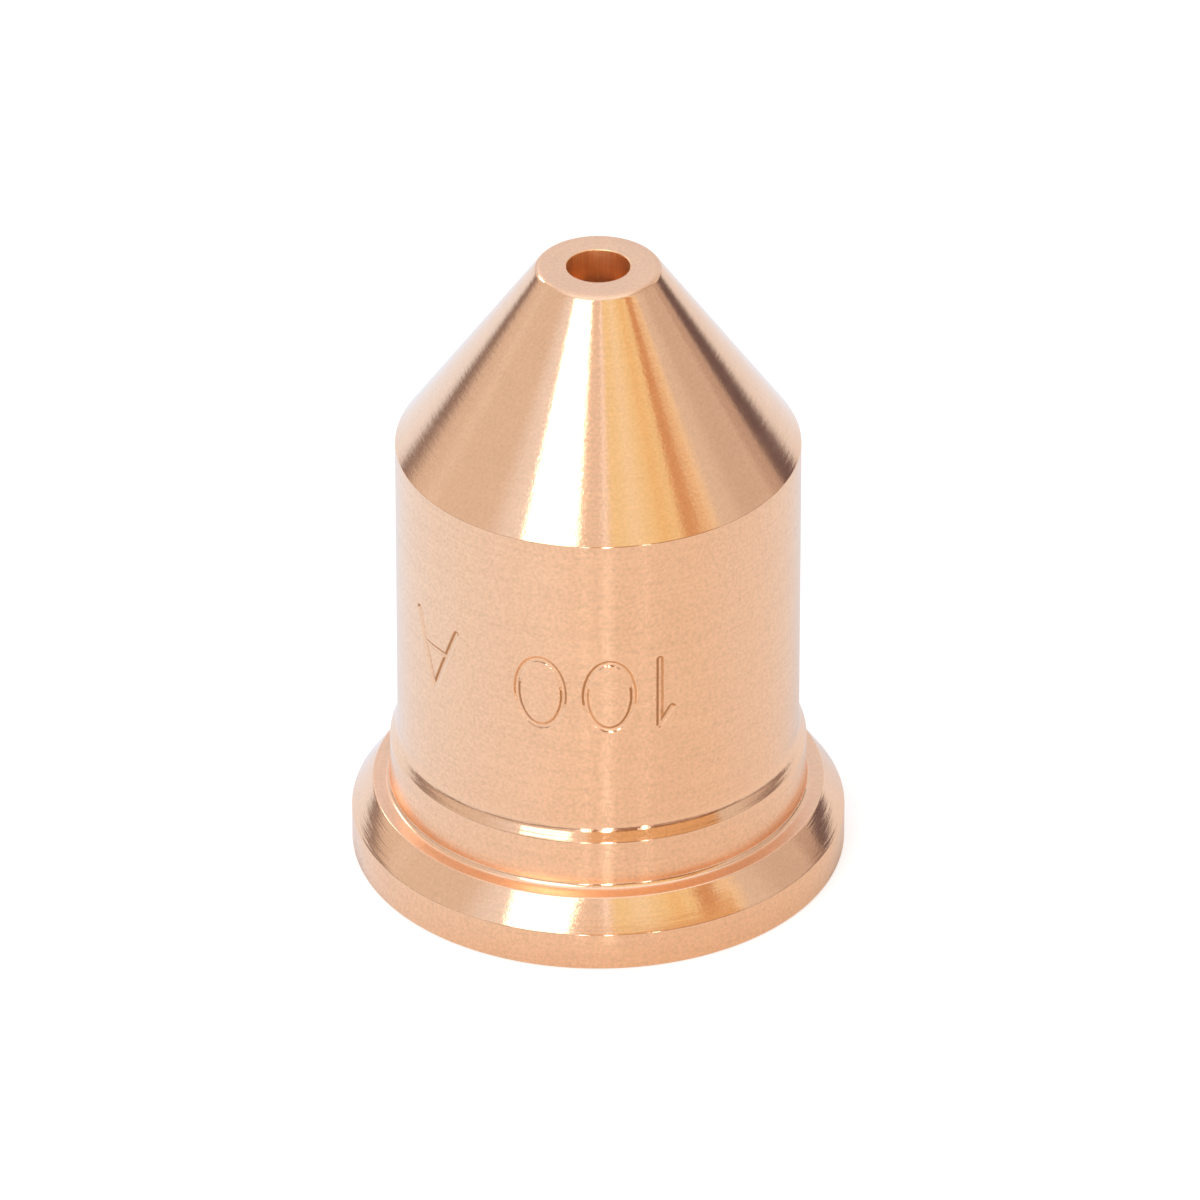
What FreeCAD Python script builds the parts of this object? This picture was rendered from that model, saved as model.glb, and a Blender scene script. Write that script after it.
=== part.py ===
"""Plasma torch nozzle, turned from one bar of copper.

The nozzle stands on its rear flange, tip up. Outside, from the rear: a flange with a
chamfered rim and a flat ledge, a low collar that centres the retaining cap, a plain body,
and a nose cone that ends in a small flat tip. Inside, from the rear: the seat of the swirl
ring, the bore round the electrode, a plenum whose cone runs parallel to the nose, and an
orifice with a narrow throat and a wider exit bore.

Sizes are in millimetres and degrees. The origin is the centre of the rear face, and +Z is
the axis of the nozzle and points to the tip.
"""
import FreeCAD, Part
import Sketcher
import os

# Driving dimensions: alias, value, what it is. Angles are measured from the axis, and
# steps, gaps and clearances on the radius.
SIZES = [
    ("overall_length", 26.4, "rear face to tip face"),
    ("body_diameter", 16.0, "plain body, which the retaining cap slides over"),
    ("nose_half_angle", 35.0, "slope of the nose cone"),
    ("tip_diameter", 4.8, "tip face before its edge is rounded"),
    ("tip_round", 0.35, "rounded edge of the tip face"),
    ("nose_edge_round", 0.12, "edge between body and nose"),
    ("collar_step", 0.3, "collar over body"),
    ("collar_height", 4.91, "rear face to the top of the straight collar"),
    ("collar_half_angle", 30.0, "slope from the collar to the body"),
    ("collar_fillet", 0.25, "fillet at the foot of the collar"),
    ("ledge_width", 0.69, "flat ledge round the foot of the collar"),
    ("ledge_height", 2.83, "rear face to the ledge"),
    ("ledge_edge_round", 0.08, "edge between ledge and flange chamfer"),
    ("rim_height", 1.6, "straight rim of the flange"),
    ("rim_half_angle", 35.0, "slope of the flange chamfer"),
    ("rim_edge_round", 0.1, "edge between flange chamfer and rim"),
    ("rear_edge_break", 0.12, "chamfered edge of the rear face"),
    ("swirl_ring_diameter", 14.5, "front pilot of the swirl ring"),
    ("swirl_ring_clearance", 0.05, "running gap round that pilot"),
    ("seat_depth", 2.6, "depth of the swirl ring's seat"),
    ("seat_lead", 0.4, "lead-in chamfer of the seat"),
    ("electrode_diameter", 9.4, "electrode that stands in the bore"),
    ("gas_gap", 0.8, "gas passage round the electrode"),
    ("nose_wall", 3.0, "wall between plenum and nose, square to both"),
    ("plenum_round", 0.6, "rounded shoulder between bore and plenum"),
    ("throat_diameter", 1.6, "narrow part of the orifice"),
    ("throat_length", 2.4, "plenum floor to exit bore"),
    ("throat_lead", 0.25, "lead-in chamfer of the throat"),
    ("exit_diameter", 2.5, "wide part of the orifice, open at the tip"),
    ("exit_depth", 2.0, "depth of the exit bore"),
    ("exit_edge_break", 0.06, "broken edge of the exit bore"),
]

# Radii and heights that the sketches and edges share, as expressions of those sizes.
TIP_RADIUS = "Sizes.tip_diameter / 2"
BODY_RADIUS = "Sizes.body_diameter / 2"
NOSE_BASE = f"Sizes.overall_length - ({BODY_RADIUS} - {TIP_RADIUS}) / tan(Sizes.nose_half_angle)"
COLLAR_RADIUS = f"{BODY_RADIUS} + Sizes.collar_step"
COLLAR_TOP = "Sizes.collar_height + Sizes.collar_step / tan(Sizes.collar_half_angle)"
LEDGE_RADIUS = f"{COLLAR_RADIUS} + Sizes.ledge_width"
RIM_DROP = "Sizes.ledge_height - Sizes.rim_height"
RIM_RADIUS = f"{LEDGE_RADIUS} + ({RIM_DROP}) * tan(Sizes.rim_half_angle)"

SEAT_RADIUS = "Sizes.swirl_ring_diameter / 2 + Sizes.swirl_ring_clearance"
BORE_RADIUS = "Sizes.electrode_diameter / 2 + Sizes.gas_gap"
ORIFICE_LENGTH = "Sizes.exit_depth + Sizes.throat_length"
WALL_ACROSS = "Sizes.nose_wall / cos(Sizes.nose_half_angle)"
FLOOR_HEIGHT = f"Sizes.overall_length - ({ORIFICE_LENGTH})"
FLOOR_RADIUS = (
    f"{TIP_RADIUS} + ({ORIFICE_LENGTH}) * tan(Sizes.nose_half_angle) - {WALL_ACROSS}"
)
PLENUM_BASE = f"{FLOOR_HEIGHT} - ({BORE_RADIUS} - ({FLOOR_RADIUS})) / tan(Sizes.nose_half_angle)"

# Corners of the two turned profiles: name, radius, height.
OUTSIDE = [
    ("rearCentre", "0", "0"),
    ("rearEdge", RIM_RADIUS, "0"),
    ("rimEdge", RIM_RADIUS, "Sizes.rim_height"),
    ("ledgeEdge", LEDGE_RADIUS, "Sizes.ledge_height"),
    ("collarFoot", COLLAR_RADIUS, "Sizes.ledge_height"),
    ("collarEdge", COLLAR_RADIUS, "Sizes.collar_height"),
    ("bodyFoot", BODY_RADIUS, COLLAR_TOP),
    ("noseEdge", BODY_RADIUS, NOSE_BASE),
    ("tipEdge", TIP_RADIUS, "Sizes.overall_length"),
    ("tipCentre", "0", "Sizes.overall_length"),
]
INSIDE = [
    ("mouthCentre", "0", "0"),
    ("mouthEdge", BORE_RADIUS, "0"),
    ("plenumEdge", BORE_RADIUS, PLENUM_BASE),
    ("floorEdge", FLOOR_RADIUS, FLOOR_HEIGHT),
    ("floorCentre", "0", FLOOR_HEIGHT),
]

# Turned edges that are rounded or chamfered: name, kind, radius, height, size.
EDGES = [
    ("TipRound", "Fillet", TIP_RADIUS, "Sizes.overall_length", "Sizes.tip_round"),
    ("NoseEdgeRound", "Fillet", BODY_RADIUS, NOSE_BASE, "Sizes.nose_edge_round"),
    ("CollarFillet", "Fillet", COLLAR_RADIUS, "Sizes.ledge_height", "Sizes.collar_fillet"),
    ("LedgeEdgeRound", "Fillet", LEDGE_RADIUS, "Sizes.ledge_height", "Sizes.ledge_edge_round"),
    ("RimEdgeRound", "Fillet", RIM_RADIUS, "Sizes.rim_height", "Sizes.rim_edge_round"),
    ("PlenumRound", "Fillet", BORE_RADIUS, PLENUM_BASE, "Sizes.plenum_round"),
    ("RearEdgeBreak", "Chamfer", RIM_RADIUS, "0", "Sizes.rear_edge_break"),
    ("SeatLead", "Chamfer", SEAT_RADIUS, "0", "Sizes.seat_lead"),
    ("ThroatLead", "Chamfer", "Sizes.throat_diameter / 2", FLOOR_HEIGHT, "Sizes.throat_lead"),
    (
        "ExitEdgeBreak", "Chamfer",
        "Sizes.exit_diameter / 2", "Sizes.overall_length", "Sizes.exit_edge_break",
    ),
]


def makeSheet(doc):
    """Put the driving dimensions in a spreadsheet, one row each."""
    sheet = doc.addObject("Spreadsheet::Sheet", "Sizes")
    for row, (alias, value, note) in enumerate(SIZES, start=1):
        sheet.set(f"A{row}", alias)
        sheet.set(f"B{row}", str(value))
        sheet.set(f"C{row}", note)
        sheet.setAlias(f"B{row}", alias)
    doc.recompute()
    return sheet


def addSketch(body, name, planeRole):
    """Add a sketch to the body on one of its own origin planes."""
    sketch = body.newObject("Sketcher::SketchObject", name)
    planes = [plane for plane in body.Origin.OriginFeatures if plane.Role == planeRole]
    sketch.AttachmentSupport = [(planes[0], "")]
    sketch.MapMode = "FlatFace"
    return sketch


def bindConstraint(sketch, constraint, name, expression):
    """Add a dimension and let an expression drive it."""
    index = sketch.addConstraint(constraint)
    sketch.renameConstraint(index, name)
    sketch.setExpression("Constraints." + name, expression)


def addProfile(body, name, corners):
    """Draw a closed half section beside the axis.

    A radius or height that repeats the last corner's is a straight wall or a flat face.
    Every other one is a dimension, measured from the origin.
    """
    sketch = addSketch(body, name, "XZ_Plane")
    points = []
    for _, radius, height in corners:
        points.append(FreeCAD.Vector(sketch.evalExpression(radius), sketch.evalExpression(height), 0))
    lineCount = len(points)
    for line in range(lineCount):
        sketch.addGeometry(Part.LineSegment(points[line], points[(line + 1) % lineCount]))
    for line in range(lineCount):
        nextLine = (line + 1) % lineCount
        sketch.addConstraint(Sketcher.Constraint("Coincident", line, 2, nextLine, 1))
    for line, (corner, radius, height) in enumerate(corners):
        _, lastRadius, lastHeight = corners[line - 1]
        if radius == "0":
            sketch.addConstraint(Sketcher.Constraint("PointOnObject", line, 1, -2))
        elif radius == lastRadius:
            sketch.addConstraint(Sketcher.Constraint("Vertical", line - 1))
        else:
            across = Sketcher.Constraint("DistanceX", -1, 1, line, 1, points[line].x)
            bindConstraint(sketch, across, corner + "Radius", radius)
        if height == "0":
            sketch.addConstraint(Sketcher.Constraint("PointOnObject", line, 1, -1))
        elif height == lastHeight:
            sketch.addConstraint(Sketcher.Constraint("Horizontal", line - 1))
        else:
            up = Sketcher.Constraint("DistanceY", -1, 1, line, 1, points[line].y)
            bindConstraint(sketch, up, corner + "Height", height)
    return sketch


def addCircle(body, name, radius, height):
    """Draw a circle round the axis, at a height above the rear face."""
    sketch = addSketch(body, name, "XY_Plane")
    sketch.setExpression("AttachmentOffset.Base.z", height)
    start = sketch.evalExpression(radius)
    sketch.addGeometry(Part.Circle(FreeCAD.Vector(), FreeCAD.Vector(0, 0, 1), start))
    sketch.addConstraint(Sketcher.Constraint("Coincident", 0, 3, -1, 1))
    bindConstraint(sketch, Sketcher.Constraint("Radius", 0, start), "circleRadius", radius)
    return sketch


def turnOutside(body):
    """Turn the outside of the nozzle, solid, from its half section."""
    turned = body.newObject("PartDesign::Revolution", "TurnedOutside")
    profile = addProfile(body, "OutsideProfile", OUTSIDE)
    turned.Profile = profile
    turned.ReferenceAxis = (profile, ["V_Axis"])
    turned.Angle = 360
    body.Document.recompute()
    return turned


def boreInside(body):
    """Cut the electrode bore and plenum, then the swirl ring's seat, from the rear."""
    bore = body.newObject("PartDesign::Groove", "BoreAndPlenum")
    profile = addProfile(body, "InsideProfile", INSIDE)
    bore.Profile = profile
    bore.ReferenceAxis = (profile, ["V_Axis"])
    bore.Angle = 360
    body.Document.recompute()

    seat = body.newObject("PartDesign::Pocket", "SwirlRingSeat")
    seat.Profile = addCircle(body, "SeatCircle", SEAT_RADIUS, "0")
    seat.Reversed = True
    seat.setExpression("Length", "Sizes.seat_depth")
    body.Document.recompute()
    return seat


def drillOrifice(body):
    """Drill the throat from the tip and counterbore the wide exit."""
    circle = addCircle(body, "OrificeCircle", "Sizes.throat_diameter / 2", "Sizes.overall_length")
    body.Document.recompute()
    orifice = body.newObject("PartDesign::Hole", "Orifice")
    orifice.Profile = circle
    orifice.DepthType = "ThroughAll"
    orifice.HoleCutType = "Counterbore"
    orifice.HoleCutCustomValues = True
    orifice.setExpression("Diameter", "Sizes.throat_diameter")
    orifice.setExpression("HoleCutDiameter", "Sizes.exit_diameter")
    orifice.setExpression("HoleCutDepth", "Sizes.exit_depth")
    body.Document.recompute()
    return orifice


def findTurnedEdge(feature, radius, height):
    """Name the circular edge nearest to a radius and height, whole circles only."""
    def distance(name):
        circle = feature.Shape.getElement(name).Curve
        return abs(circle.Radius - radius) + abs(circle.Center.z - height)

    names = [f"Edge{index}" for index in range(1, len(feature.Shape.Edges) + 1)]
    circles = [
        name for name in names
        if isinstance(feature.Shape.getElement(name).Curve, Part.Circle)
    ]
    return min(circles, key=distance)


def finishEdges(body):
    """Round and chamfer the turned edges, one feature for each."""
    for name, kind, radius, height, size in EDGES:
        base = body.Tip
        edge = findTurnedEdge(base, base.evalExpression(radius), base.evalExpression(height))
        finished = body.newObject("PartDesign::" + kind, name)
        finished.Base = (base, [edge])
        finished.setExpression("Radius" if kind == "Fillet" else "Size", size)
        body.Document.recompute()


def makeNozzle(doc):
    """Build the one body of the nozzle."""
    body = doc.addObject("PartDesign::Body", "Nozzle")
    body.Label = "nozzle"
    turned = turnOutside(body)
    blank = turned.Shape.Volume
    seat = boreInside(body)
    bored = seat.Shape.Volume
    orifice = drillOrifice(body)
    if not blank > bored > orifice.Shape.Volume:
        raise RuntimeError("a bore of the nozzle cut nothing")
    finishEdges(body)
    body.Placement = FreeCAD.Placement()
    return body


def checkDocument(doc, body):
    """Stop if a feature failed, a sketch is loose or the solid is unsound."""
    for item in doc.Objects:
        if "Invalid" in item.State or "Error" in item.State:
            raise RuntimeError(f"{item.Label} failed: {item.State}")
        if item.isDerivedFrom("Sketcher::SketchObject") and not item.FullyConstrained:
            raise RuntimeError(f"{item.Label} isn't fully constrained")
    shape = body.Shape
    if shape.isNull() or not shape.isValid() or len(shape.Solids) != 1:
        raise RuntimeError(f"{body.Label} isn't one valid solid")


def main():
    doc = FreeCAD.newDocument("PlasmaTorchNozzle")
    makeSheet(doc)
    nozzle = makeNozzle(doc)
    doc.recompute()
    checkDocument(doc, nozzle)
    os.makedirs("parts", exist_ok=True)
    nozzle.Shape.exportStep(f"parts/{nozzle.Label}.step")
    box = nozzle.Shape.BoundBox
    print(f"{nozzle.Label}: {nozzle.Shape.Volume:.1f} mm3, {len(nozzle.Shape.Faces)} faces,")
    print(f"  {box.XLength:.2f} x {box.YLength:.2f} x {box.ZLength:.2f} mm")


main()
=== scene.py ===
import bpy
import math
import numpy as np
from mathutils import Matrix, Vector


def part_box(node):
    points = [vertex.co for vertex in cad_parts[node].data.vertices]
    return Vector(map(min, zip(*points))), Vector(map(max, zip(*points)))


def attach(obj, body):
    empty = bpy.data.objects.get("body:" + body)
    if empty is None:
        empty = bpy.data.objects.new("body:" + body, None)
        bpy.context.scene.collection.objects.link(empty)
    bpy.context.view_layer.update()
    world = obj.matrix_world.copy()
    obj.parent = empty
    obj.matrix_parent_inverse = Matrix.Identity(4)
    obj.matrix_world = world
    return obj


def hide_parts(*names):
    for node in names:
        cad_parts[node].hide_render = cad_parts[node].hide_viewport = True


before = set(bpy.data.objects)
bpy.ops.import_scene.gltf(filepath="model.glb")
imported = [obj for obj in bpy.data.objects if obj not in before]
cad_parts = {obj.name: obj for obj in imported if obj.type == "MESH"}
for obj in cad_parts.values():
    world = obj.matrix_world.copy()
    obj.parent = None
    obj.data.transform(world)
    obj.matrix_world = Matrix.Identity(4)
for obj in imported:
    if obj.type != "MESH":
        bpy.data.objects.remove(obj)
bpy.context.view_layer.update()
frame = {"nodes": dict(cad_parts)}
print("frame loaded:", ", ".join(frame["nodes"]))

mm = 0.001

# how near counts as the same, in millimetres
mergeGap = 0.001
nearRing = 0.002
nearWall = 0.01


def deselectAll():
    if bpy.context.object and bpy.context.object.mode != "OBJECT":
        bpy.ops.object.mode_set(mode="OBJECT")
    bpy.ops.object.select_all(action="DESELECT")


def makeActive(piece):
    deselectAll()
    piece.select_set(True)
    bpy.context.view_layer.objects.active = piece


def slope(halfAngle):
    return math.tan(math.radians(halfAngle))


# The nozzle is turned as rings: from the exit hole down the outside and back up the bore.
# Sizes are in millimetres and degrees, and half angles are measured from the axis.
nozzle = {
    "segments": 360,
    "length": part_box("nozzle")[1].z / mm,
    "tipRadius": 2.4,
    "bodyRadius": 8.0,
    "noseHalfAngle": 35,
    "collarRadius": 8.3,
    "collarHeight": 4.91,
    "collarHalfAngle": 30,
    "ledgeRadius": 8.99,
    "ledgeHeight": 2.83,
    "rimHalfAngle": 35,
    "rimHeight": 1.6,
    "seatRadius": 7.3,
    "seatDepth": 2.6,
    "boreRadius": 5.5,
    "noseWall": 3.0,
    "throatRadius": 0.8,
    "throatLength": 2.4,
    "exitRadius": 1.25,
    "exitDepth": 2.0,
}

# The stamped rating: plain figures, upside down when the tip is up. Each figure has its
# middle as an angle from the front, positive to the right, and strokes in its own frame.
figures = {
    "height": 3.05,
    "middle": 11.55,
    "strokeHalf": 0.155,
    "wallWidth": 0.12,
    "depth": 0.034,
    "lip": 0.006,
    "lipWidth": 0.07,
    "margin": 0.3,
    "cell": 0.14,
    "cuts": 4,
    "flickOut": 0.5,
    "flickDown": 0.5,
    "zeroHalf": 0.95,
    "zeroSteps": 48,
    "legSpread": 1.2,
    "barDrop": 0.15,
    "places": [
        {"name": "one", "angle": 17.6, "tilt": 0.0, "half": 0.6},
        {"name": "zero", "angle": 3.2, "tilt": 0.0, "half": 1.0},
        {"name": "zero", "angle": -16.6, "tilt": 1.5, "half": 1.0},
        {"name": "letter", "angle": -53.0, "tilt": -2.0, "half": 1.25},
    ],
}


def makeRings(size):
    # radius and height of each sharp ring
    length = size["length"]
    noseSlope = slope(size["noseHalfAngle"])
    noseBase = length - (size["bodyRadius"] - size["tipRadius"]) / noseSlope
    collarStep = size["collarRadius"] - size["bodyRadius"]
    collarTop = size["collarHeight"] + collarStep / slope(size["collarHalfAngle"])
    rimDrop = size["ledgeHeight"] - size["rimHeight"]
    rimRadius = size["ledgeRadius"] + rimDrop * slope(size["rimHalfAngle"])
    floorHeight = length - size["exitDepth"] - size["throatLength"]
    wallAcross = size["noseWall"] / math.cos(math.radians(size["noseHalfAngle"]))
    floorRadius = size["tipRadius"] + (length - floorHeight) * noseSlope - wallAcross
    plenumBase = floorHeight - (size["boreRadius"] - floorRadius) / noseSlope
    stampTop = figures["middle"] + figures["height"] / 2 + figures["margin"]
    stampFoot = figures["middle"] - figures["height"] / 2 - figures["margin"]
    rows = round((stampTop - stampFoot) / figures["cell"])
    stampRows = [
        (size["bodyRadius"], stampTop + (stampFoot - stampTop) * row / rows)
        for row in range(rows + 1)
    ]
    return {
        "exitEdge": (size["exitRadius"], length),
        "tipEdge": (size["tipRadius"], length),
        "noseEdge": (size["bodyRadius"], noseBase),
        "stampRows": stampRows,
        "bodyFoot": (size["bodyRadius"], collarTop),
        "collarEdge": (size["collarRadius"], size["collarHeight"]),
        "collarFoot": (size["collarRadius"], size["ledgeHeight"]),
        "ledgeEdge": (size["ledgeRadius"], size["ledgeHeight"]),
        "rimEdge": (rimRadius, size["rimHeight"]),
        "rearEdge": (rimRadius, 0),
        "seatEdge": (size["seatRadius"], 0),
        "seatCorner": (size["seatRadius"], size["seatDepth"]),
        "boreEdge": (size["boreRadius"], size["seatDepth"]),
        "plenumEdge": (size["boreRadius"], plenumBase),
        "floorEdge": (floorRadius, floorHeight),
        "throatEdge": (size["throatRadius"], floorHeight),
        "throatTop": (size["throatRadius"], length - size["exitDepth"]),
        "exitCorner": (size["exitRadius"], length - size["exitDepth"]),
    }


# Edges that are rounded or chamfered: offset from the sharp edge, and segments.
edgeFinish = {
    "exitEdge": (0.05, 3),
    "tipEdge": (0.18, 8),
    "noseEdge": (0.04, 4),
    "bodyFoot": (0.2, 8),
    "collarEdge": (0.04, 3),
    "collarFoot": (0.25, 10),
    "ledgeEdge": (0.05, 4),
    "rimEdge": (0.04, 4),
    "rearEdge": (0.12, 2),
    "seatEdge": (0.4, 1),
    "plenumEdge": (0.19, 4),
    "throatEdge": (0.25, 1),
}


def ringEdges(piece, radius, height):
    # select the edges of one ring, in edit mode
    bpy.ops.mesh.select_all(action="DESELECT")
    bpy.ops.object.mode_set(mode="OBJECT")
    mesh = piece.data
    onRing = [
        abs(math.hypot(vertex.co.x, vertex.co.y) - radius * mm) < nearRing * mm
        and abs(vertex.co.z - height * mm) < nearRing * mm
        for vertex in mesh.vertices
    ]
    for edge in mesh.edges:
        edge.select = onRing[edge.vertices[0]] and onRing[edge.vertices[1]]
    bpy.ops.object.mode_set(mode="EDIT")


def turnNozzle(size):
    rings = makeRings(size)
    stations = []
    for place in rings.values():
        stations.extend(place if isinstance(place, list) else [place])
    stations.append(stations[0])
    deselectAll()
    startRadius, startHeight = stations[0]
    bpy.ops.mesh.primitive_circle_add(
        vertices=size["segments"], radius=startRadius * mm, location=(0, 0, startHeight * mm)
    )
    piece = bpy.context.object
    piece.name = "turnedNozzle"
    bpy.ops.object.transform_apply(location=True, rotation=True, scale=True)
    bpy.ops.object.mode_set(mode="EDIT")
    bpy.ops.mesh.select_all(action="SELECT")
    for (radius, height), (nextRadius, nextHeight) in zip(stations, stations[1:]):
        step = (0, 0, (nextHeight - height) * mm)
        bpy.ops.mesh.extrude_edges_move(TRANSFORM_OT_translate={"value": step})
        grow = nextRadius / radius
        bpy.ops.transform.resize(value=(grow, grow, 1), center_override=(0, 0, 0))
    bpy.ops.mesh.select_all(action="SELECT")
    bpy.ops.mesh.remove_doubles(threshold=mergeGap * mm)
    bpy.ops.mesh.select_mode(type="EDGE")
    for name, (offset, segments) in edgeFinish.items():
        ringEdges(piece, *rings[name])
        bpy.ops.mesh.bevel(offset=offset * mm, segments=segments, affect="EDGES")
    bpy.ops.mesh.select_all(action="SELECT")
    bpy.ops.mesh.normals_make_consistent(inside=False)
    bpy.ops.object.mode_set(mode="OBJECT")
    print("nozzle turned:", len(piece.data.polygons), "faces")
    return piece


def ovalPoints(halfWidth, halfHeight, steps):
    turns = [2 * math.pi * step / steps for step in range(steps + 1)]
    return [(halfWidth * math.cos(turn), halfHeight * math.sin(turn)) for turn in turns]


def figureStrokes(name):
    # strokes as lines of points, upright, with the figure's middle at the origin
    half = figures["height"] / 2
    if name == "one":
        return [[(0.0, -half), (0.0, half), (-figures["flickOut"], figures["flickDown"] * half)]]
    if name == "zero":
        return [ovalPoints(figures["zeroHalf"], half, figures["zeroSteps"])]
    leg = figures["legSpread"]
    bar = -figures["barDrop"] * half
    reach = leg * (half - bar) / (2 * half)
    return [[(-leg, -half), (0.0, half), (leg, -half)], [(-reach, bar), (reach, bar)]]


def strokeDistance(points, strokes):
    # distance from each point to the nearest stroke
    nearest = np.full(len(points), np.inf)
    for stroke in strokes:
        corners = np.array(stroke)
        for start, end in zip(corners, corners[1:]):
            along = end - start
            share = np.clip((points - start) @ along / (along @ along), 0, 1)
            gap = np.linalg.norm(points - start - share[:, None] * along, axis=1)
            nearest = np.minimum(nearest, gap)
    return nearest


def stampFigures(piece, size):
    # cut fine cells where the figures go, then press each figure into them
    mesh = piece.data
    radius = size["bodyRadius"]
    reach = figures["height"] / 2 + figures["margin"]
    bpy.ops.object.mode_set(mode="EDIT")
    bpy.ops.mesh.select_mode(type="FACE")
    bpy.ops.mesh.select_all(action="DESELECT")
    bpy.ops.object.mode_set(mode="OBJECT")
    for polygon in mesh.polygons:
        x, y, z = (value / mm for value in polygon.center)
        turn = math.degrees(math.atan2(x, -y))
        onWall = abs(math.hypot(x, y) - radius) < nearWall
        polygon.select = onWall and abs(z - figures["middle"]) < reach and any(
            abs(math.radians(turn - place["angle"])) * radius < place["half"] + figures["margin"]
            for place in figures["places"]
        )
    bpy.ops.object.mode_set(mode="EDIT")
    bpy.ops.mesh.subdivide(number_cuts=figures["cuts"])
    bpy.ops.object.mode_set(mode="OBJECT")

    spots = np.zeros(len(mesh.vertices) * 3)
    mesh.vertices.foreach_get("co", spots)
    spots = spots.reshape(-1, 3) / mm
    turns = np.arctan2(spots[:, 0], -spots[:, 1])
    spread = np.hypot(spots[:, 0], spots[:, 1])
    band = (np.abs(spots[:, 2] - figures["middle"]) < reach) & (np.abs(spread - radius) < nearWall)
    pressed = np.zeros(len(spots))
    walls = np.zeros(len(spots))
    for place in figures["places"]:
        # upside down: along runs to the left, up runs towards the flange
        along = -(turns - math.radians(place["angle"])) * radius
        up = figures["middle"] - spots[:, 2]
        lean = math.radians(place["tilt"])
        sideways = along * math.cos(lean) + up * math.sin(lean)
        upright = up * math.cos(lean) - along * math.sin(lean)
        near = band & (np.abs(along) < place["half"] + figures["margin"])
        points = np.stack([sideways, upright], 1)[near]
        gap = strokeDistance(points, figureStrokes(place["name"]))
        wall = np.clip((figures["strokeHalf"] - gap) / figures["wallWidth"], 0, 1)
        groove = figures["depth"] * wall * wall * (3 - 2 * wall)
        lipPlace = (gap - figures["strokeHalf"] - 0.5 * figures["lipWidth"]) / figures["lipWidth"]
        pressed[near] += figures["lip"] * np.exp(-4 * lipPlace * lipPlace) - groove
        walls[near] = np.maximum(walls[near], np.sqrt(4 * wall * (1 - wall)))
    spread[band] = radius + pressed[band]
    spots[:, 0] = np.where(band, np.sin(turns) * spread, spots[:, 0])
    spots[:, 1] = np.where(band, -np.cos(turns) * spread, spots[:, 1])
    mesh.vertices.foreach_set("co", (spots * mm).ravel())
    # stampWall marks the groove walls: it darkens their colour as painted shade and makes them
    # rougher
    wallMark = mesh.attributes.new("stampWall", "FLOAT", "POINT")
    wallMark.data.foreach_set("value", walls)
    mesh.update()
    print("figures stamped:", len(mesh.polygons), "faces")


copper = (0.95, 0.60, 0.39)
# painted glow: the copper of the hole through the tip is made brighter and redder, standing in for
# light bouncing inside the hole
holeCopperPaintedGlow = (1.0, 0.62, 0.36)
# painted shade: the stamped groove walls are darkened to this copper, standing in for the dim
# light between the walls
grooveCopperPaintedShade = (0.76, 0.37, 0.17)

# What the finishes share. Scales are in cells to the metre, round the part or all over.
copperMarks = {
    "lineScale": 180.0,
    "lineShare": 0.25,
    "mottleScale": 700.0,
    "noiseRange": (0.25, 0.75),
    "roughSpread": 0.08,
    "grooveDullness": 0.4,
    "streakScale": (9000, 9000, 350),
    "streakShade": (0.86, 1.14),
    "smoothAngle": 40,
}

# Copper finishes. The blur of a reflection is given along the axis and round it. Lathe
# lines have a pitch and a depth, grain a size and a depth, all in millimetres.
finishes = {
    "turnedBody": {
        "axialBlur": 0.11, "roundBlur": 0.011, "pitch": 0.2, "lineDepth": 0.008,
        "grain": 0.13, "grainDepth": 0.003, "shade": 0.30, "mottle": 0.05,
    },
    "turnedCone": {
        "axialBlur": 0.03, "roundBlur": 0.01, "pitch": 0.14, "lineDepth": 0.003,
        "grain": 0.12, "grainDepth": 0.003, "shade": 0.18, "mottle": 0.04,
    },
    "turnedBevel": {
        "axialBlur": 0.03, "roundBlur": 0.01, "pitch": 0.15, "lineDepth": 0.008,
        "grain": 0.12, "grainDepth": 0.003, "shade": 0.18, "mottle": 0.04,
    },
    "facedEnd": {
        "axialBlur": 0.16, "roundBlur": 0.16, "pitch": 0.18, "lineDepth": 0.008,
        "grain": 0.13, "grainDepth": 0.005, "shade": 0.20, "mottle": 0.06,
    },
    "boredWall": {
        "axialBlur": 0.12, "roundBlur": 0.12, "pitch": 0.2, "lineDepth": 0.008,
        "grain": 0.14, "grainDepth": 0.005, "shade": 0.20, "mottle": 0.06,
    },
    "reamedHole": {
        "axialBlur": 0.12, "roundBlur": 0.12, "pitch": 0.2, "lineDepth": 0.0,
        "grain": 0.14, "grainDepth": 0.002, "shade": 0.1, "mottle": 0.0,
    },
}


def addNode(tree, kind, settings=None, values=None):
    node = tree.nodes.new(kind)
    for name, value in (settings or {}).items():
        setattr(node, name, value)
    for name, value in (values or {}).items():
        node.inputs[name].default_value = value
    return node


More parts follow.
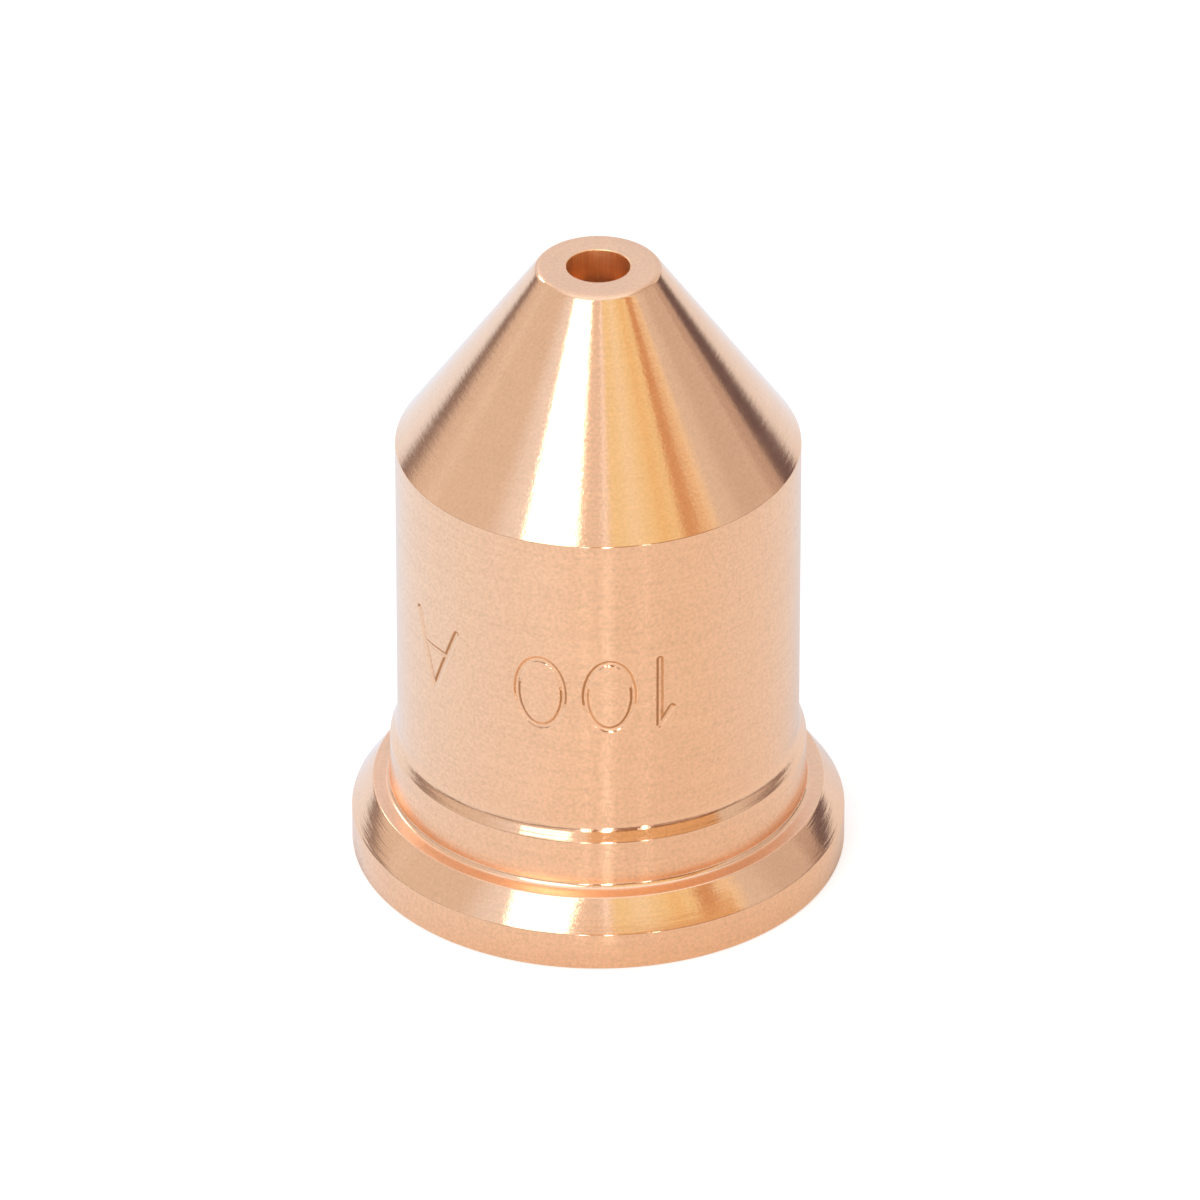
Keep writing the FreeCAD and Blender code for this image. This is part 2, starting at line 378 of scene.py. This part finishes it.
def makeTurnedGroup():
    # turned copper: lathe lines round the axis, grain and mottle, as height and shade
    group = bpy.data.node_groups.new("turnedMarks", "ShaderNodeTree")
    face = group.interface
    face.new_socket("place", in_out="INPUT", socket_type="NodeSocketVector")
    for name in ("across", "pitch", "lineDepth", "grain", "grainDepth"):
        face.new_socket(name, in_out="INPUT", socket_type="NodeSocketFloat")
    for name in ("height", "shade", "mottle"):
        face.new_socket(name, in_out="OUTPUT", socket_type="NodeSocketFloat")
    link = group.links.new
    given = addNode(group, "NodeGroupInput")
    taken = addNode(group, "NodeGroupOutput")

    # lines: tight across the pitch, long round the part
    aroundPlace = addNode(group, "ShaderNodeVectorMath", {"operation": "SCALE"})
    aroundPlace.inputs["Scale"].default_value = copperMarks["lineScale"]
    aroundSplit = addNode(group, "ShaderNodeSeparateXYZ")
    rings = addNode(group, "ShaderNodeMath", {"operation": "DIVIDE"})
    linePlace = addNode(group, "ShaderNodeCombineXYZ")
    lines = addNode(
        group, "ShaderNodeTexNoise", None, {"Scale": 1.0, "Detail": 2.0, "Roughness": 0.7}
    )
    link(given.outputs["place"], aroundPlace.inputs[0])
    link(aroundPlace.outputs[0], aroundSplit.inputs[0])
    link(given.outputs["across"], rings.inputs[0])
    link(given.outputs["pitch"], rings.inputs[1])
    link(aroundSplit.outputs["X"], linePlace.inputs["X"])
    link(aroundSplit.outputs["Y"], linePlace.inputs["Y"])
    link(rings.outputs[0], linePlace.inputs["Z"])
    link(linePlace.outputs[0], lines.inputs["Vector"])

    # grain: the same size in all directions
    grainScale = addNode(group, "ShaderNodeMath", {"operation": "DIVIDE"})
    grainScale.inputs[0].default_value = 1.0
    grain = addNode(group, "ShaderNodeTexNoise", None, {"Detail": 2.0, "Roughness": 0.6})
    link(given.outputs["grain"], grainScale.inputs[1])
    link(grainScale.outputs[0], grain.inputs["Scale"])
    link(given.outputs["place"], grain.inputs["Vector"])

    lineHeight = addNode(group, "ShaderNodeMath", {"operation": "MULTIPLY"})
    height = addNode(group, "ShaderNodeMath", {"operation": "MULTIPLY_ADD"})
    link(lines.outputs[0], lineHeight.inputs[0])
    link(given.outputs["lineDepth"], lineHeight.inputs[1])
    link(grain.outputs[0], height.inputs[0])
    link(given.outputs["grainDepth"], height.inputs[1])
    link(lineHeight.outputs[0], height.inputs[2])
    link(height.outputs[0], taken.inputs["height"])

    shade = addNode(group, "ShaderNodeMix")
    shade.inputs["Factor"].default_value = copperMarks["lineShare"]
    link(grain.outputs[0], shade.inputs["A"])
    link(lines.outputs[0], shade.inputs["B"])
    link(shade.outputs[0], taken.inputs["shade"])

    mottle = addNode(group, "ShaderNodeTexNoise", None, {"Detail": 4.0, "Roughness": 0.65})
    mottle.inputs["Scale"].default_value = copperMarks["mottleScale"]
    link(given.outputs["place"], mottle.inputs["Vector"])
    link(mottle.outputs[0], taken.inputs["mottle"])
    return group


def flatRadius(tree, place):
    # distance from the axis, for lathe lines on a flat end
    level = addNode(tree, "ShaderNodeVectorMath", {"operation": "MULTIPLY"})
    level.inputs[1].default_value = (1, 1, 0)
    radius = addNode(tree, "ShaderNodeVectorMath", {"operation": "LENGTH"})
    tree.links.new(place, level.inputs[0])
    tree.links.new(level.outputs[0], radius.inputs[0])
    return radius.outputs["Value"]


def shadeFrom(tree, source, low, high):
    # turn a noise value into a multiplier between low and high
    mapped = addNode(tree, "ShaderNodeMapRange")
    mapped.inputs["From Min"].default_value = copperMarks["noiseRange"][0]
    mapped.inputs["From Max"].default_value = copperMarks["noiseRange"][1]
    mapped.inputs["To Min"].default_value = low
    mapped.inputs["To Max"].default_value = high
    tree.links.new(source, mapped.inputs["Value"])
    return mapped.outputs[0]


def multiplyColour(tree, colour, factor):
    # the colour is either written out or comes from another node
    scaled = addNode(tree, "ShaderNodeVectorMath", {"operation": "SCALE"})
    if isinstance(colour, tuple):
        scaled.inputs[0].default_value = colour
    else:
        tree.links.new(colour, scaled.inputs[0])
    tree.links.new(factor, scaled.inputs["Scale"])
    return scaled.outputs[0]


def makeCopper(name, turnedGroup):
    finish = finishes[name]
    axial, around = finish["axialBlur"], finish["roundBlur"]
    material = bpy.data.materials.new(name)
    material.use_nodes = True
    tree = material.node_tree
    link = tree.links.new
    shader = tree.nodes["Principled BSDF"]
    shader.inputs["Metallic"].default_value = 1
    shader.inputs["Anisotropic"].default_value = (1 - around / axial) / 0.9
    shader.inputs["Anisotropic Rotation"].default_value = 0.25
    tangent = addNode(tree, "ShaderNodeTangent", {"direction_type": "RADIAL", "axis": "Z"})
    link(tangent.outputs[0], shader.inputs["Tangent"])

    place = addNode(tree, "ShaderNodeTexCoord").outputs["Object"]
    marks = addNode(
        tree,
        "ShaderNodeGroup",
        {"node_tree": turnedGroup},
        {
            "pitch": finish["pitch"] * mm,
            "lineDepth": finish["lineDepth"],
            "grain": finish["grain"] * mm,
            "grainDepth": finish["grainDepth"],
        },
    )
    link(place, marks.inputs["place"])
    if name == "facedEnd":
        link(flatRadius(tree, place), marks.inputs["across"])
    else:
        split = addNode(tree, "ShaderNodeSeparateXYZ")
        link(place, split.inputs[0])
        link(split.outputs["Z"], marks.inputs["across"])

    # the hole's brighter copper is a painted glow for the light bouncing inside it
    colour = holeCopperPaintedGlow if name == "reamedHole" else copper
    if name == "turnedBody":
        # the groove walls get painted shade: the colour is mixed towards the darker groove copper
        # there
        wall = addNode(tree, "ShaderNodeAttribute", {"attribute_name": "stampWall"})
        base = addNode(tree, "ShaderNodeMix", {"data_type": "RGBA"})
        base.inputs[6].default_value = (*copper, 1)
        base.inputs[7].default_value = (*grooveCopperPaintedShade, 1)
        link(wall.outputs["Fac"], base.inputs["Factor"])
        colour = base.outputs[2]
    for mark in ("shade", "mottle"):
        half = finish[mark] / 2
        factor = shadeFrom(tree, marks.outputs[mark], 1 - half, 1 + half)
        colour = multiplyColour(tree, colour, factor)
    if name == "reamedHole":
        colour = multiplyColour(tree, colour, dragStreaks(tree, place))
    link(colour, shader.inputs["Base Color"])

    roughness = math.sqrt(math.sqrt(axial * around))
    change = roughness * copperMarks["roughSpread"]
    rough = shadeFrom(tree, marks.outputs["mottle"], roughness - change, roughness + change)
    if name == "turnedBody":
        dull = addNode(tree, "ShaderNodeMath", {"operation": "MULTIPLY_ADD"})
        dull.inputs[1].default_value = copperMarks["grooveDullness"]
        link(wall.outputs["Fac"], dull.inputs[0])
        link(rough, dull.inputs[2])
        rough = dull.outputs[0]
    link(rough, shader.inputs["Roughness"])
    bump = addNode(tree, "ShaderNodeBump", None, {"Strength": 1.0, "Distance": mm})
    link(marks.outputs["height"], bump.inputs["Height"])
    link(bump.outputs[0], shader.inputs["Normal"])
    return material


def dragStreaks(tree, place):
    # the reamer's drag marks: fine round the hole, long down it
    stretch = addNode(tree, "ShaderNodeVectorMath", {"operation": "MULTIPLY"})
    stretch.inputs[1].default_value = copperMarks["streakScale"]
    streaks = addNode(
        tree, "ShaderNodeTexNoise", None, {"Scale": 1.0, "Detail": 2.0, "Roughness": 0.6}
    )
    tree.links.new(place, stretch.inputs[0])
    tree.links.new(stretch.outputs[0], streaks.inputs["Vector"])
    return shadeFrom(tree, streaks.outputs[0], *copperMarks["streakShade"])


def finishNozzle(piece, size):
    turnedGroup = makeTurnedGroup()
    names = list(finishes)
    for name in names:
        piece.data.materials.append(makeCopper(name, turnedGroup))
    floorHeight = size["length"] - size["exitDepth"] - size["throatLength"]
    for polygon in piece.data.polygons:
        # rise is how far a face looks up, outward how far it looks away from the axis
        x, y, z = (value / mm for value in polygon.center)
        spread = math.hypot(x, y)
        rise = polygon.normal.z
        outward = (polygon.normal.x * x + polygon.normal.y * y) / spread
        if outward < -0.2:
            name = "reamedHole" if z > floorHeight else "boredWall"
        elif abs(rise) > 0.9:
            name = "facedEnd"
        elif rise > 0.05:
            name = "turnedCone" if z > size["length"] / 2 else "turnedBevel"
        else:
            name = "turnedBody"
        polygon.material_index = names.index(name)
    makeActive(piece)
    bpy.ops.object.shade_smooth_by_angle(angle=math.radians(copperMarks["smoothAngle"]))
    weighted = piece.modifiers.new("faceWeights", "WEIGHTED_NORMAL")
    weighted.keep_sharp = True
    bpy.ops.object.modifier_apply(modifier=weighted.name)
    print("nozzle finished")


nozzlePiece = turnNozzle(nozzle)
stampFigures(nozzlePiece, nozzle)
finishNozzle(nozzlePiece, nozzle)
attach(nozzlePiece, "root")
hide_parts("nozzle")


# The studio: a wide pale floor, a plain room in the world and one soft lamp. Directions
# are azimuth from the front, positive to the right, and elevation, in degrees.
studio = {
    "floorSize": 60.0,
    "floorColour": (0.6, 0.6, 0.6, 1),
    "floorRoughness": 0.8,
    "floorGloss": 0.2,
    "cameraLift": 0.55,
    "warmSide": 30,
    "warmBounce": (0.26, 0.19, 0.12, 1),
    "coolBounce": (0.27, 0.40, 0.55, 1),
    "room": (0.77, 0.73, 0.70, 1),
}

# Cards round the object, each over the ones before: azimuths, elevations, soft edge, colour.
cards = {
    "ceiling": (-200, 200, 58, 92, 8, (1.10, 1.18, 1.30)),
    "backWall": (140, 220, 7, 58, 6, (0.80, 0.86, 1.0)),
    "leftWallFold": (-107, -99, 3, 58, 4, (0.82, 0.80, 0.79)),
    "leftGlow": (-60, -40, 18, 58, 8, (0.90, 0.95, 1.05)),
    "frontWall": (-16, 31, 6, 58, 4, (0.85, 0.79, 0.75)),
    "warmCard": (7, 52, 31, 56, 1.5, (0.95, 0.88, 0.58)),
    "warmCardFoot": (31, 52, 22, 56, 1.5, (0.95, 0.86, 0.56)),
    "warmCardShine": (17, 28, 31, 56, 4, (0.98, 0.95, 0.74)),
    "warmCardFold": (37, 43, 22, 56, 3, (0.92, 0.75, 0.41)),
    "cardEdge": (51, 61.5, 20, 56, 1.2, (0.68, 0.40, 0.22)),
    "doorway": (61.5, 71, 20, 58, 2.5, (0.96, 0.87, 0.67)),
    "rightWall": (84, 108, 5, 58, 6, (0.67, 0.61, 0.58)),
    "rightCorner": (108, 119, 5, 50, 2, (0.57, 0.49, 0.46)),
    "darkDoor": (117.5, 138, -4, 10, 1.5, (0.13, 0.09, 0.11)),
    "lowGap": (-140, 118, -3, 6, 3, (0.20, 0.14, 0.14)),
    "lowShelf": (-6, 66, 10, 30, 2, (0.78, 0.53, 0.30)),
    "tableEdge": (-6, 66, -3, 12, 3, (0.25, 0.12, 0.07)),
    "windowSlit": (3.9, 5.4, -3, 13, 0.5, (34.0, 35.0, 37.0)),
    "leftSlit": (-7.4, -5.9, -3, 13, 0.5, (14.0, 14.5, 15.5)),
    "rightSlit": (23.8, 25.3, -3, 13, 0.5, (11.0, 11.5, 12.5)),
    "highSlit": (3.6, 5.0, 31, 60, 0.5, (1.4, 1.5, 1.75)),
}
lamps = {
    "keySoftbox": {"azimuth": -28.5, "elevation": 37, "wide": 25, "tall": 36, "radiance": 2.8},
    "backSoftbox": {"azimuth": -136, "elevation": 32, "wide": 9, "tall": 12, "radiance": 5.0},
}
lampDistance = 0.6  # metres


def direction(azimuth, elevation):
    turn, rise = math.radians(azimuth), math.radians(elevation)
    return (math.sin(turn) * math.cos(rise), -math.cos(turn) * math.cos(rise), math.sin(rise))


def makeFloor():
    deselectAll()
    bpy.ops.mesh.primitive_plane_add(size=studio["floorSize"])
    floor = bpy.context.object
    floor.name = "studioFloor"
    material = bpy.data.materials.new("paleFloor")
    material.use_nodes = True
    tree = material.node_tree
    link = tree.links.new
    shader = tree.nodes["Principled BSDF"]
    shader.inputs["Base Color"].default_value = studio["floorColour"]
    shader.inputs["Roughness"].default_value = studio["floorRoughness"]
    shader.inputs["Specular IOR Level"].default_value = studio["floorGloss"]

    # what metal sees of the floor is warm on the card's side and cool behind
    place = addNode(tree, "ShaderNodeTexCoord").outputs["Object"]
    toward = addNode(tree, "ShaderNodeVectorMath", {"operation": "NORMALIZE"})
    side = addNode(tree, "ShaderNodeVectorMath", {"operation": "DOT_PRODUCT"})
    side.inputs[1].default_value = direction(studio["warmSide"], 0)
    bounce = addNode(tree, "ShaderNodeMix", {"data_type": "RGBA"})
    bounce.inputs[6].default_value = studio["coolBounce"]
    bounce.inputs[7].default_value = studio["warmBounce"]
    share = addNode(tree, "ShaderNodeMapRange", None, {"From Min": -1.0, "From Max": 1.0})
    link(place, toward.inputs[0])
    link(toward.outputs[0], side.inputs[0])
    link(side.outputs["Value"], share.inputs["Value"])
    link(share.outputs[0], bounce.inputs["Factor"])

    rays = addNode(tree, "ShaderNodeLightPath")
    mirrored = addNode(tree, "ShaderNodeMath", {"operation": "MAXIMUM"})
    link(rays.outputs["Is Glossy Ray"], mirrored.inputs[0])
    link(rays.outputs["Is Transmission Ray"], mirrored.inputs[1])
    seen = addNode(tree, "ShaderNodeMath", {"operation": "MULTIPLY"})
    seen.inputs[1].default_value = studio["cameraLift"]
    link(rays.outputs["Is Camera Ray"], seen.inputs[0])
    glossColour = addNode(tree, "ShaderNodeVectorMath", {"operation": "SCALE"})
    link(bounce.outputs[2], glossColour.inputs[0])
    link(mirrored.outputs[0], glossColour.inputs["Scale"])
    lift = addNode(tree, "ShaderNodeVectorMath", {"operation": "ADD"})
    link(glossColour.outputs[0], lift.inputs[0])
    link(seen.outputs[0], lift.inputs[1])
    link(lift.outputs[0], shader.inputs["Emission Color"])
    shader.inputs["Emission Strength"].default_value = 1
    floor.data.materials.append(material)


def makeCardGroup():
    # 1 inside a card's azimuths and elevations, 0 outside, with soft edges
    group = bpy.data.node_groups.new("cardMask", "ShaderNodeTree")
    sides = ("azimuth", "midAzimuth", "halfAzimuth")
    ends = ("elevation", "midElevation", "halfElevation")
    for name in (*sides, *ends, "soft"):
        group.interface.new_socket(name, in_out="INPUT", socket_type="NodeSocketFloat")
    group.interface.new_socket("mask", in_out="OUTPUT", socket_type="NodeSocketFloat")
    link = group.links.new
    given = addNode(group, "NodeGroupInput")
    taken = addNode(group, "NodeGroupOutput")

    def within(names, wraps):
        value, middle, half = (given.outputs[name] for name in names)
        away = addNode(group, "ShaderNodeMath", {"operation": "SUBTRACT"})
        link(value, away.inputs[0])
        link(middle, away.inputs[1])
        if wraps:
            wrapped = addNode(group, "ShaderNodeMath", {"operation": "WRAP"})
            wrapped.inputs[1].default_value = 180
            wrapped.inputs[2].default_value = -180
            link(away.outputs[0], wrapped.inputs[0])
            away = wrapped
        far = addNode(group, "ShaderNodeMath", {"operation": "ABSOLUTE"})
        inner = addNode(group, "ShaderNodeMath", {"operation": "SUBTRACT"})
        outer = addNode(group, "ShaderNodeMath", {"operation": "ADD"})
        edge = addNode(group, "ShaderNodeMapRange", {"interpolation_type": "SMOOTHSTEP"})
        edge.inputs["To Min"].default_value = 1
        edge.inputs["To Max"].default_value = 0
        link(away.outputs[0], far.inputs[0])
        for bound, name in ((inner, "From Min"), (outer, "From Max")):
            link(half, bound.inputs[0])
            link(given.outputs["soft"], bound.inputs[1])
            link(bound.outputs[0], edge.inputs[name])
        link(far.outputs[0], edge.inputs["Value"])
        return edge.outputs[0]

    both = addNode(group, "ShaderNodeMath", {"operation": "MULTIPLY"})
    link(within(sides, True), both.inputs[0])
    link(within(ends, False), both.inputs[1])
    link(both.outputs[0], taken.inputs["mask"])
    return group


def makeWorld():
    world = bpy.data.worlds.new("studioRoom")
    bpy.context.scene.world = world
    world.use_nodes = True
    tree = world.node_tree
    link = tree.links.new
    shade = tree.nodes["Background"]
    place = addNode(tree, "ShaderNodeTexCoord")
    split = addNode(tree, "ShaderNodeSeparateXYZ")
    link(place.outputs["Generated"], split.inputs[0])
    ahead = addNode(tree, "ShaderNodeMath", {"operation": "MULTIPLY"})
    ahead.inputs[1].default_value = -1
    turn = addNode(tree, "ShaderNodeMath", {"operation": "ARCTAN2"})
    azimuth = addNode(tree, "ShaderNodeMath", {"operation": "DEGREES"})
    rise = addNode(tree, "ShaderNodeMath", {"operation": "ARCSINE"})
    elevation = addNode(tree, "ShaderNodeMath", {"operation": "DEGREES"})
    link(split.outputs["Y"], ahead.inputs[0])
    link(split.outputs["X"], turn.inputs[0])
    link(ahead.outputs[0], turn.inputs[1])
    link(turn.outputs[0], azimuth.inputs[0])
    link(split.outputs["Z"], rise.inputs[0])
    link(rise.outputs[0], elevation.inputs[0])

    cardGroup = makeCardGroup()
    room = None
    for name, (left, right, foot, top, soft, colour) in cards.items():
        values = {
            "midAzimuth": (left + right) / 2,
            "halfAzimuth": (right - left) / 2,
            "midElevation": (foot + top) / 2,
            "halfElevation": (top - foot) / 2,
            "soft": soft,
        }
        mask = addNode(tree, "ShaderNodeGroup", {"node_tree": cardGroup, "label": name}, values)
        link(azimuth.outputs[0], mask.inputs["azimuth"])
        link(elevation.outputs[0], mask.inputs["elevation"])
        mixed = addNode(tree, "ShaderNodeMix", {"data_type": "RGBA"})
        mixed.inputs[6].default_value = studio["room"]
        mixed.inputs[7].default_value = (*colour, 1)
        if room:
            link(room, mixed.inputs[6])
        link(mask.outputs[0], mixed.inputs["Factor"])
        room = mixed.outputs[2]
    link(room, shade.inputs["Color"])
    shade.inputs["Strength"].default_value = 1


def makeLamp(name, lamp):
    across = 2 * lampDistance * math.tan(math.radians(lamp["wide"] / 2))
    tall = 2 * lampDistance * math.tan(math.radians(lamp["tall"] / 2))
    data = bpy.data.lights.new(name, "AREA")
    data.shape = "RECTANGLE"
    data.size = across
    data.size_y = tall
    data.energy = lamp["radiance"] * math.pi * across * tall
    piece = bpy.data.objects.new(name, data)
    bpy.context.scene.collection.objects.link(piece)
    toward = Vector(direction(lamp["azimuth"], lamp["elevation"]))
    piece.location = toward * lampDistance + Vector((0, 0, nozzle["length"] * mm / 2))
    piece.rotation_euler = toward.to_track_quat("Z", "Y").to_euler()


makeFloor()
makeWorld()
for lampName, lampValues in lamps.items():
    makeLamp(lampName, lampValues)
print("studio lit")

cameraView = {
    "elevation": 32,
    "distance": 0.515,
    "lens": 390,
    "sensor": 36,
    "clip": (0.01, 200),
    "aim": (0.00007, 0, 0.01103),
}


def makeCamera():
    data = bpy.data.cameras.new("frontCamera")
    data.lens = cameraView["lens"]
    data.sensor_width = cameraView["sensor"]
    data.clip_start, data.clip_end = cameraView["clip"]
    camera = bpy.data.objects.new("frontCamera", data)
    bpy.context.scene.collection.objects.link(camera)
    back = Vector(direction(0, cameraView["elevation"]))
    camera.location = Vector(cameraView["aim"]) + back * cameraView["distance"]
    camera.rotation_euler = back.to_track_quat("Z", "Y").to_euler()
    bpy.context.scene.camera = camera


makeCamera()
bpy.context.scene.view_settings.view_transform = "Standard"
print("camera set")
